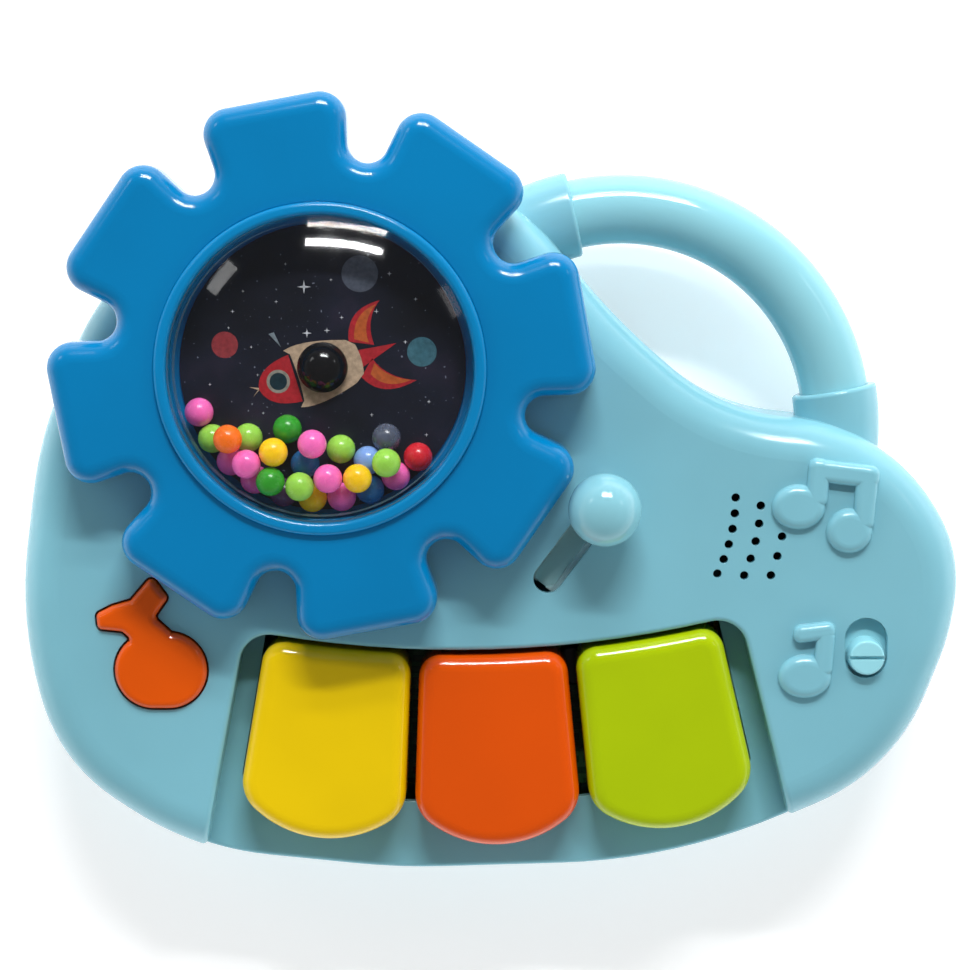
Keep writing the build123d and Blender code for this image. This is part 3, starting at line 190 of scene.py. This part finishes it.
def metal(name, colour, roughness):
    """Plated metal with a fine grain and a few dull patches."""
    material, tree, shader = new_material(name)
    stain = noise(tree, 300.0, 4.0)
    base = ramp(tree, stain, [(0.3, shade(colour, 0.82)), (0.65, colour)])
    tree.links.new(base, shader.inputs["Base Color"])
    shader.inputs["Metallic"].default_value = 1.0
    grain = noise(tree, 1800.0, 3.0)
    tree.links.new(spread(tree, grain, roughness * 0.7, roughness * 1.4), shader.inputs["Roughness"])
    bump(tree, shader, grain, 0.006 * MM, 0.6, softened_edges(tree, 0.1 * MM))
    return material


def matte(name, colour, roughness, grain):
    """Dull surface such as rubber, resin, ferrite or paper, with a fine grain."""
    material, tree, shader = new_material(name)
    speckle = noise(tree, grain, 4.0)
    base = ramp(tree, speckle, [(0.35, shade(colour, 0.8)), (0.65, shade(colour, 1.15))])
    tree.links.new(base, shader.inputs["Base Color"])
    dullness = spread(tree, noise(tree, 90.0), roughness * 0.85, roughness * 1.1)
    tree.links.new(dullness, shader.inputs["Roughness"])
    bump(tree, shader, speckle, 0.02 * MM, 0.8)
    return material


def circuit_board(name):
    """Green laminate with copper tracks showing through the mask and a fine weave."""
    material, tree, shader = new_material(name)
    place = tree.nodes.new("ShaderNodeTexCoord")
    tracks = tree.nodes.new("ShaderNodeTexBrick")
    tracks.inputs["Scale"].default_value = 90.0
    tracks.inputs["Mortar Size"].default_value = 0.05
    tracks.inputs["Color1"].default_value = (0.010, 0.090, 0.035, 1.0)
    tracks.inputs["Color2"].default_value = (0.014, 0.120, 0.045, 1.0)
    tracks.inputs["Mortar"].default_value = (0.060, 0.220, 0.080, 1.0)
    tree.links.new(place.outputs["Object"], tracks.inputs["Vector"])
    tree.links.new(tracks.outputs["Color"], shader.inputs["Base Color"])
    tree.links.new(spread(tree, noise(tree, 700.0), 0.25, 0.4), shader.inputs["Roughness"])
    bump(tree, shader, tracks.outputs["Fac"], 0.03 * MM, 0.5)
    return material


def clear_plastic(name):
    """Thin clear window: straight-through light, gloss by angle and a pale edge where it is seen side-on."""
    material, tree, shader = new_material(name)
    output = next(n for n in tree.nodes if n.type == "OUTPUT_MATERIAL")
    tree.nodes.remove(shader)
    through = tree.nodes.new("ShaderNodeBsdfTransparent")
    through.inputs["Color"].default_value = (0.985, 0.992, 0.995, 1.0)
    gloss = tree.nodes.new("ShaderNodeBsdfGlossy")
    wear = noise(tree, 240.0, 5.0, stretch=(1.0, 0.3, 1.0), roughness=0.7)
    tree.links.new(spread(tree, wear, 0.03, 0.09), gloss.inputs["Roughness"])
    facing = tree.nodes.new("ShaderNodeLayerWeight")
    facing.inputs["Blend"].default_value = 0.5
    steep = tree.nodes.new("ShaderNodeMath")
    steep.operation = "POWER"
    steep.inputs[1].default_value = 5.0
    tree.links.new(facing.outputs["Facing"], steep.inputs[0])
    reflected = tree.nodes.new("ShaderNodeMapRange")
    reflected.inputs["To Min"].default_value = 0.022
    reflected.inputs["To Max"].default_value = 0.7
    tree.links.new(steep.outputs["Value"], reflected.inputs["Value"])
    clear = tree.nodes.new("ShaderNodeMixShader")
    tree.links.new(reflected.outputs["Result"], clear.inputs["Fac"])
    tree.links.new(through.outputs["BSDF"], clear.inputs[1])
    tree.links.new(gloss.outputs["BSDF"], clear.inputs[2])
    edge_glow = tree.nodes.new("ShaderNodeBsdfDiffuse")
    edge_glow.inputs["Color"].default_value = (*srgb(150, 196, 214), 1.0)
    edge = tree.nodes.new("ShaderNodeMapRange")
    edge.inputs["From Min"].default_value = 0.75
    edge.inputs["From Max"].default_value = 1.0
    edge.inputs["To Max"].default_value = 0.3
    tree.links.new(facing.outputs["Facing"], edge.inputs["Value"])
    mix = tree.nodes.new("ShaderNodeMixShader")
    tree.links.new(edge.outputs["Result"], mix.inputs["Fac"])
    tree.links.new(clear.outputs["Shader"], mix.inputs[1])
    tree.links.new(edge_glow.outputs["BSDF"], mix.inputs[2])
    tree.links.new(mix.outputs["Shader"], output.inputs["Surface"])
    return material


def night_print(name):
    """Dark blue printed sky with faint nebula clouds and dust."""
    material, tree, shader = new_material(name)
    clouds = ramp(tree, noise(tree, 45.0, 6.0), [
        (0.35, srgb(14, 17, 27)), (0.55, srgb(24, 27, 42)), (0.75, srgb(52, 42, 62)),
    ])
    dust = ramp(tree, noise(tree, 1300.0, 1.0), [(0.74, (0.0, 0.0, 0.0)), (0.80, srgb(120, 125, 140))])
    both = tree.nodes.new("ShaderNodeMix")
    both.data_type = "RGBA"
    both.blend_type = "ADD"
    both.inputs["Factor"].default_value = 1.0
    tree.links.new(clouds, both.inputs["A"])
    tree.links.new(dust, both.inputs["B"])
    tree.links.new(both.outputs["Result"], shader.inputs["Base Color"])
    shader.inputs["Roughness"].default_value = 0.35
    bump(tree, shader, noise(tree, 2200.0, 3.0), 0.01 * MM, 0.5)
    return material


def ink(name, colour):
    """Printed ink with the mottling of a screen print."""
    material, tree, shader = new_material(name)
    blot = noise(tree, 900.0, 4.0)
    tree.links.new(ramp(tree, blot, [(0.3, shade(colour, 0.72)), (0.7, shade(colour, 1.12))]),
                   shader.inputs["Base Color"])
    tree.links.new(spread(tree, noise(tree, 260.0), 0.3, 0.5), shader.inputs["Roughness"])
    bump(tree, shader, blot, 0.006 * MM, 0.6)
    return material


def bead_plastic(name, colour, clear=0.0):
    """Small glossy bead: soft bright plastic that passes some light on, with a faint moulding swirl and a faint
    painted glow that makes it look more brightly lit.
    """
    material, tree, shader = new_material(name)
    swirl = noise(tree, 420.0, 3.0, stretch=(1.0, 1.0, 0.5))
    base = ramp(tree, swirl, [(0.3, shade(colour, 0.95)), (0.7, shade(colour, 1.15))])
    tree.links.new(base, shader.inputs["Base Color"])
    # painted light: the bead's own colour is given off as a faint glow, so it looks brighter lit though it is
    # no lamp
    tree.links.new(base, shader.inputs["Emission Color"])
    shader.inputs["Emission Strength"].default_value = BEAD_PAINTED_GLOW * (1.0 - clear)
    tree.links.new(spread(tree, noise(tree, 700.0, 3.0), 0.18, 0.3), shader.inputs["Roughness"])
    shader.inputs["Subsurface Weight"].default_value = 0.25
    shader.inputs["Subsurface Radius"].default_value = (1.5 * MM, 1.2 * MM, 1.0 * MM)
    shader.inputs["Subsurface Scale"].default_value = 1.0
    shader.inputs["Transmission Weight"].default_value = clear
    bump(tree, shader, noise(tree, 1100.0, 2.0), 0.01 * MM, 0.5)
    return material


def wrapped_cell(name):
    """Battery sleeve: a plain green body with a pale band, without any mark."""
    material, tree, shader = new_material(name)
    place = tree.nodes.new("ShaderNodeTexCoord")
    axis = tree.nodes.new("ShaderNodeSeparateXYZ")
    tree.links.new(place.outputs["Object"], axis.inputs["Vector"])
    along = tree.nodes.new("ShaderNodeMapRange")
    along.inputs["From Min"].default_value = -18 * MM
    along.inputs["From Max"].default_value = 34 * MM
    tree.links.new(axis.outputs["X"], along.inputs["Value"])
    bands = ramp(tree, along.outputs["Result"], [
        (0.0, srgb(30, 110, 80)), (0.62, srgb(34, 118, 86)),
        (0.64, srgb(200, 205, 200)), (1.0, srgb(214, 216, 210)),
    ])
    tree.links.new(bands, shader.inputs["Base Color"])
    tree.links.new(spread(tree, noise(tree, 120.0, 3.0), 0.25, 0.4), shader.inputs["Roughness"])
    bump(tree, shader, noise(tree, 500.0), 0.01 * MM, 0.4)
    return material


def pale_floor(name):
    """Plain white paper floor with a barely visible tooth."""
    material, tree, shader = new_material(name)
    tooth = noise(tree, 600.0, 3.0)
    tree.links.new(ramp(tree, tooth, [(0.3, (0.90, 0.90, 0.90)), (0.7, (0.94, 0.94, 0.94))]),
                   shader.inputs["Base Color"])
    shader.inputs["Roughness"].default_value = 0.9
    shader.inputs["Specular IOR Level"].default_value = 0.1
    shader.inputs["Emission Color"].default_value = (1.0, 1.0, 1.0, 1.0)
    shader.inputs["Emission Strength"].default_value = FLOOR_GLOW
    bump(tree, shader, tooth, 0.02 * MM, 0.3)
    return material


# ---------------------------------------------------------------- materials of the CAD nodes
TEAL = srgb(124, 184, 199)
HANDLE_BLUE = srgb(140, 200, 212)
WHEEL_BLUE = srgb(0, 119, 175)
STEEL = (0.62, 0.63, 0.65)
PLATING = (0.72, 0.70, 0.62)
CLEAR_BEAD_TRANSMISSION = 0.6
# painted light: strength of the faint glow that brightens the beads as if more light reached them
BEAD_PAINTED_GLOW = 0.06

BEAD_COLOURS = {
    "pink": srgb(238, 106, 178),
    "light_green": srgb(150, 206, 78),
    "dark_green": srgb(52, 150, 44),
    "yellow": srgb(246, 194, 26),
    "orange": srgb(242, 112, 30),
    "blue": srgb(48, 104, 158),
    "pale_blue": srgb(122, 156, 214),
    "clear": srgb(120, 128, 150),
    "red": srgb(206, 38, 50),
    "purple": srgb(96, 64, 96),
}

housing = moulded_plastic("housing_plastic", TEAL, 0.17, soft=0.05)
steel = metal("zinc_steel", STEEL, 0.3)
rubber = matte("silicone_rubber", (0.05, 0.053, 0.06), 0.6, 900.0)
board = circuit_board("circuit_laminate")
black = moulded_plastic("black_plastic", (0.006, 0.006, 0.007), 0.12)

NODE_MATERIALS = {
    "front_housing": housing,
    "rear_housing": housing,
    "battery_door": housing,
    "handle": moulded_plastic("handle_plastic", HANDLE_BLUE, 0.11, soft=0.05),
    "gear_wheel": moulded_plastic("wheel_plastic", WHEEL_BLUE, 0.15, edge=0.5 * MM),
    "dome_bezel": moulded_plastic("ring_plastic", srgb(4, 124, 180), 0.16),
    "dome_window": clear_plastic("clear_window"),
    "picture_disc": night_print("printed_sky"),
    "hub_cap": black,
    "power_switch": black,
    "slider_foot": black,
    "key_yellow": moulded_plastic("yellow_plastic", srgb(232, 196, 0), 0.12, coat=0.2),
    "key_orange": moulded_plastic("orange_plastic", srgb(220, 80, 0), 0.12, coat=0.2),
    "key_green": moulded_plastic("green_plastic", srgb(168, 192, 0), 0.12, coat=0.2),
    "note_button": moulded_plastic("note_plastic", srgb(222, 84, 0), 0.14, coat=0.2),
    "slider_knob": moulded_plastic("ball_plastic", srgb(128, 186, 199), 0.12, coat=0.3),
    # painted light: the track is given a much paler colour than the housing to make up for the shade in its
    # deep slot
    "slider_track": moulded_plastic("track_plastic_painted_light", srgb(214, 250, 252), 0.35),
    "switch_knob": moulded_plastic("switch_plastic", srgb(148, 212, 224), 0.25),
    "note_button_board": board,
    "main_circuit_board": board,
    "sound_chip": matte("chip_resin", (0.01, 0.01, 0.012), 0.25, 500.0),
    "speaker_magnet": matte("ferrite", (0.05, 0.05, 0.055), 0.5, 1200.0),
    "speaker_cone": matte("cone_paper", (0.015, 0.015, 0.016), 0.8, 1600.0),
    "batteries": wrapped_cell("battery_sleeve"),
    "battery_contacts_positive": metal("plated_contact", PLATING, 0.25),
    "battery_contacts_negative": metal("plated_leaf", PLATING, 0.3),
    "battery_wires": matte("red_insulation", srgb(170, 26, 22), 0.45, 700.0),
    "speaker_wires": matte("yellow_insulation", srgb(196, 160, 30), 0.45, 700.0),
    "switch_wires": matte("black_insulation", (0.02, 0.02, 0.022), 0.45, 700.0),
}
STEEL_NODES = (
    "hub_washer", "hub_screw", "key_hinge_pins", "slider_screw", "slider_track_screws", "speaker_frame",
    "board_screws", "note_board_screws", "battery_door_screw", "case_screws",
)
RUBBER_NODES = ("contact_dome_yellow", "contact_dome_orange", "contact_dome_green", "contact_dome_note")


def paint(node_name, material):
    """Gives a CAD node one material in place of its packed one."""
    slots = nodes[node_name].data.materials
    slots.clear()
    slots.append(material)


for node_name, material in NODE_MATERIALS.items():
    paint(node_name, material)
for node_name in STEEL_NODES:
    paint(node_name, steel)
for node_name in RUBBER_NODES:
    paint(node_name, rubber)
for colour_name, colour in BEAD_COLOURS.items():
    clear = CLEAR_BEAD_TRANSMISSION if colour_name == "clear" else 0.0
    paint(f"beads_{colour_name}", bead_plastic(f"bead_{colour_name}", colour, clear))


# ---------------------------------------------------------------- printed picture
INK_THICKNESS = 0.008 * MM


def flat_piece(name, outlines, material, layer):
    """Thin printed shapes on the picture disc; outlines are (x, y) points in millimetres from its centre."""
    mesh = bmesh.new()
    low = PICTURE_TOP + layer * INK_THICKNESS
    for outline in outlines:
        places = [(WHEEL_CENTRE.x + x * MM, WHEEL_CENTRE.y + y * MM, low) for x, y in outline]
        ring = [mesh.verts.new(place) for place in places]
        face = mesh.faces.new(ring)
        raised = bmesh.ops.extrude_face_region(mesh, geom=[face])
        top = [v for v in raised["geom"] if isinstance(v, bmesh.types.BMVert)]
        bmesh.ops.translate(mesh, verts=top, vec=(0.0, 0.0, INK_THICKNESS))
    bmesh.ops.recalc_face_normals(mesh, faces=mesh.faces)
    data = bpy.data.meshes.new(name)
    mesh.to_mesh(data)
    mesh.free()
    piece = bpy.data.objects.new(name, data)
    bpy.context.scene.collection.objects.link(piece)
    data.materials.append(material)
    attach(piece, "wheel")


def disc(x, y, radius, steps=36):
    """Outline of a round spot."""
    angles = [2 * math.pi * i / steps for i in range(steps)]
    return [(x + radius * math.cos(angle), y + radius * math.sin(angle)) for angle in angles]


def sparkle(x, y, reach, waist=0.22):
    """Outline of a four-pointed star."""
    points = []
    for i in range(8):
        radius = reach if i % 2 == 0 else reach * waist
        angle = math.pi * i / 4
        points.append((x + radius * math.cos(angle), y + radius * math.sin(angle)))
    return points


def bow(start, middle, end, steps=10):
    """Points along a curve from start to end, pulled towards middle."""
    points = []
    for i in range(steps + 1):
        t = i / steps
        points.append(tuple((1 - t) ** 2 * a + 2 * t * (1 - t) * b + t * t * c
                            for a, b, c in zip(start, middle, end)))
    return points


# the rocket lies nose down to the left; its own x runs from nose to tail
ROCKET_TURN = math.radians(17.0)
ROCKET_CENTRE = (0.0, -0.6)


def on_rocket(outline):
    """Turns an outline from the rocket's own axes to the disc's."""
    c, s = math.cos(ROCKET_TURN), math.sin(ROCKET_TURN)
    return [(ROCKET_CENTRE[0] + x * c - y * s, ROCKET_CENTRE[1] + x * s + y * c) for x, y in outline]


nose = bow((-6.6, 5.6), (-14.5, 5.0), (-15.4, 0.0)) + bow((-15.4, 0.0), (-14.5, -5.0), (-6.6, -5.6))[1:]
body = bow((-7.4, 6.8), (-3.0, 8.2), (7.0, 5.0)) + bow((8.8, 3.4), (9.6, 0.0), (8.8, -3.6)) + bow(
    (6.6, -5.2), (-3.0, -8.2), (-7.4, -6.8)) + bow((-6.2, -5.6), (-5.6, 0.0), (-6.2, 5.6))
upper_fin = bow((7.6, 4.4), (9.0, 11.8), (17.2, 11.4)) + bow((17.2, 11.4), (12.6, 8.2), (13.0, 2.0))[1:]
lower_fin = bow((8.0, -4.2), (11.0, -10.6), (20.0, -8.6)) + bow((20.0, -8.6), (13.6, -6.4), (11.6, -0.8))[1:]
upper_flame = bow((9.0, 4.6), (10.4, 10.4), (16.2, 10.8)) + bow((16.2, 10.8), (11.6, 7.8), (12.0, 2.8))[1:]
lower_flame = bow((10.2, -4.2), (12.4, -8.8), (18.8, -8.2)) + bow((18.8, -8.2), (13.4, -6.0), (11.8, -2.0))[1:]
middle_fin = [(8.4, 2.0), (18.0, 0.9), (8.8, -2.2)]
antenna = [(-15.2, 0.25), (-17.4, 1.1), (-15.4, -0.25)]
antenna_low = [(-15.2, 0.25), (-17.2, -1.3), (-15.4, -0.25)]

red_ink = ink("ink_red", srgb(176, 34, 44))
flat_piece("print_rocket_fins", [on_rocket(upper_fin), on_rocket(lower_fin), on_rocket(middle_fin)], red_ink, 0)
flat_piece("print_rocket_flames", [on_rocket(upper_flame), on_rocket(lower_flame)],
           ink("ink_orange", srgb(190, 92, 44)), 1)
flat_piece("print_rocket_body", [on_rocket(body), on_rocket(antenna), on_rocket(antenna_low)],
           ink("ink_cream", srgb(190, 164, 138)), 1)
flat_piece("print_rocket_nose", [on_rocket(nose)], red_ink, 2)
flat_piece("print_window_rim", [on_rocket(disc(-10.6, 0.4, 2.7))], ink("ink_grey", srgb(146, 142, 132)), 3)
flat_piece("print_window_glass", [on_rocket(disc(-10.6, 0.4, 2.0))], ink("ink_deep_teal", srgb(22, 48, 58)), 4)

flat_piece("print_red_planet", [disc(-22.5, 5.1, 3.05)], ink("ink_brick", srgb(150, 54, 60)), 0)
flat_piece("print_grey_moon", [disc(8.6, 21.4, 4.2)], ink("ink_moon", srgb(84, 90, 104)), 0)
flat_piece("print_teal_planet", [disc(22.8, 3.5, 3.4)], ink("ink_teal", srgb(62, 108, 122)), 0)

STARS = [
    (-4.2, 18.4, 1.6), (-3.6, 7.8, 1.1), (1.0, 8.4, 0.7), (12.4, 12.8, 0.6), (4.4, 11.4, 0.5),
    (21.4, 15.6, 0.5),
    (-20.6, 12.8, 0.5), (-18.2, 17.4, 0.4), (-10.6, 15.0, 0.5), (-8.4, 23.6, 0.4), (-21.6, 9.0, 0.4),
    (-16.4, 4.6, 0.4), (-15.0, -1.8, 0.4), (24.4, -8.0, 0.5), (11.2, -11.0, 0.5), (23.8, -15.6, 0.5),
    (19.0, 5.8, 0.5), (-13.8, -10.6, 0.4), (15.4, 21.4, 0.6), (-26.0, -4.0, 0.4), (2.0, 20.0, 0.4),
]
flat_piece("print_stars", [sparkle(x, y, reach) for x, y, reach in STARS],
           ink("ink_star", srgb(206, 208, 214)), 0)
comet = [(-12.4, 7.6), (-11.2, 8.0), (-9.6, 4.6)]
flat_piece("print_comet", [comet], ink("ink_comet", srgb(120, 132, 140)), 0)


# ---------------------------------------------------------------- floor, light and camera
def floor_sheet():
    """Large flat sheet just under the toy."""
    mesh = bmesh.new()
    bmesh.ops.create_grid(mesh, x_segments=8, y_segments=8, size=FLOOR_SIZE)
    data = bpy.data.meshes.new("floor")
    mesh.to_mesh(data)
    mesh.free()
    sheet = bpy.data.objects.new("floor", data)
    sheet.location.z = cad_box[0].z - FLOOR_GAP
    bpy.context.scene.collection.objects.link(sheet)
    data.materials.append(pale_floor("floor_paper"))


def lamp(name, tilt, turn, distance, width, height, power, mirrored=True):
    """Rectangular lamp aimed at the toy; tilt is from straight above towards +Y, turn about the vertical."""
    data = bpy.data.lights.new(name, "AREA")
    data.shape = "RECTANGLE"
    data.size = width
    data.size_y = height
    data.energy = power
    light = bpy.data.objects.new(name, data)
    direction = Vector((0.0, math.sin(tilt), math.cos(tilt)))
    direction.rotate(Matrix.Rotation(turn, 4, "Z"))
    light.location = direction * distance
    light.rotation_euler = direction.to_track_quat("Z", "Y").to_euler()
    light.visible_glossy = mirrored
    bpy.context.scene.collection.objects.link(light)


def studio_world():
    """Dim even room with a pale band just above the horizon, so that low views end in a light backdrop."""
    world = bpy.data.worlds.new("studio")
    world.use_nodes = True
    tree = world.node_tree
    place = tree.nodes.new("ShaderNodeTexCoord")
    axis = tree.nodes.new("ShaderNodeSeparateXYZ")
    tree.links.new(place.outputs["Generated"], axis.inputs["Vector"])
    level = tree.nodes.new("ShaderNodeMapRange")
    level.interpolation_type = "SMOOTHSTEP"
    level.inputs["From Min"].default_value = BAND_TOP
    level.inputs["From Max"].default_value = BAND_LOW
    level.inputs["To Min"].default_value = ROOM_LEVEL
    level.inputs["To Max"].default_value = BAND_LEVEL
    tree.links.new(axis.outputs["Z"], level.inputs["Value"])
    background = tree.nodes["Background"]
    background.inputs["Color"].default_value = (1.0, 1.0, 1.0, 1.0)
    tree.links.new(level.outputs["Result"], background.inputs["Strength"])
    return world


floor_sheet()
# two long tubes towards the handle side give the narrow streaks, two small cards the pale window patches
lamp("tube_near", math.radians(51), TUBE_TURN, LAMP_DISTANCE, 0.8, 0.07, 18.6)
lamp("tube_far", math.radians(59), TUBE_TURN, LAMP_DISTANCE, 0.8, 0.04, 6.5)
lamp("card_left", CARD_TILT, math.radians(52), LAMP_DISTANCE, 0.34, 0.16, 0.8)
lamp("card_right", CARD_TILT, math.radians(-62), LAMP_DISTANCE, 0.34, 0.12, 0.35)
# big low panels all round fill the shadows; they don't show in the gloss
for fill_name, fill_turn, fill_power in (
    ("fill_top", 0.0, 17.0), ("fill_left", math.radians(90), 20.0),
    ("fill_right", math.radians(-90), 22.0), ("fill_low", math.radians(180), 25.0),
):
    lamp(fill_name, FILL_TILT, fill_turn, FILL_DISTANCE, FILL_WIDTH, FILL_HEIGHT, fill_power, mirrored=False)
bpy.context.scene.world = studio_world()
bpy.context.scene.view_settings.view_transform = "Standard"

camera_data = bpy.data.cameras.new("camera")
camera_data.sensor_width = SENSOR
camera_data.lens = SENSOR * VIEW_DISTANCE / VIEW_WIDTH
camera_data.clip_end = 20.0
camera = bpy.data.objects.new("camera", camera_data)
camera.location = VIEW_TARGET + Vector((0.0, math.sin(VIEW_TILT), math.cos(VIEW_TILT))) * VIEW_DISTANCE
camera.rotation_euler = (-VIEW_TILT, 0.0, 0.0)
bpy.context.scene.collection.objects.link(camera)
bpy.context.scene.camera = camera
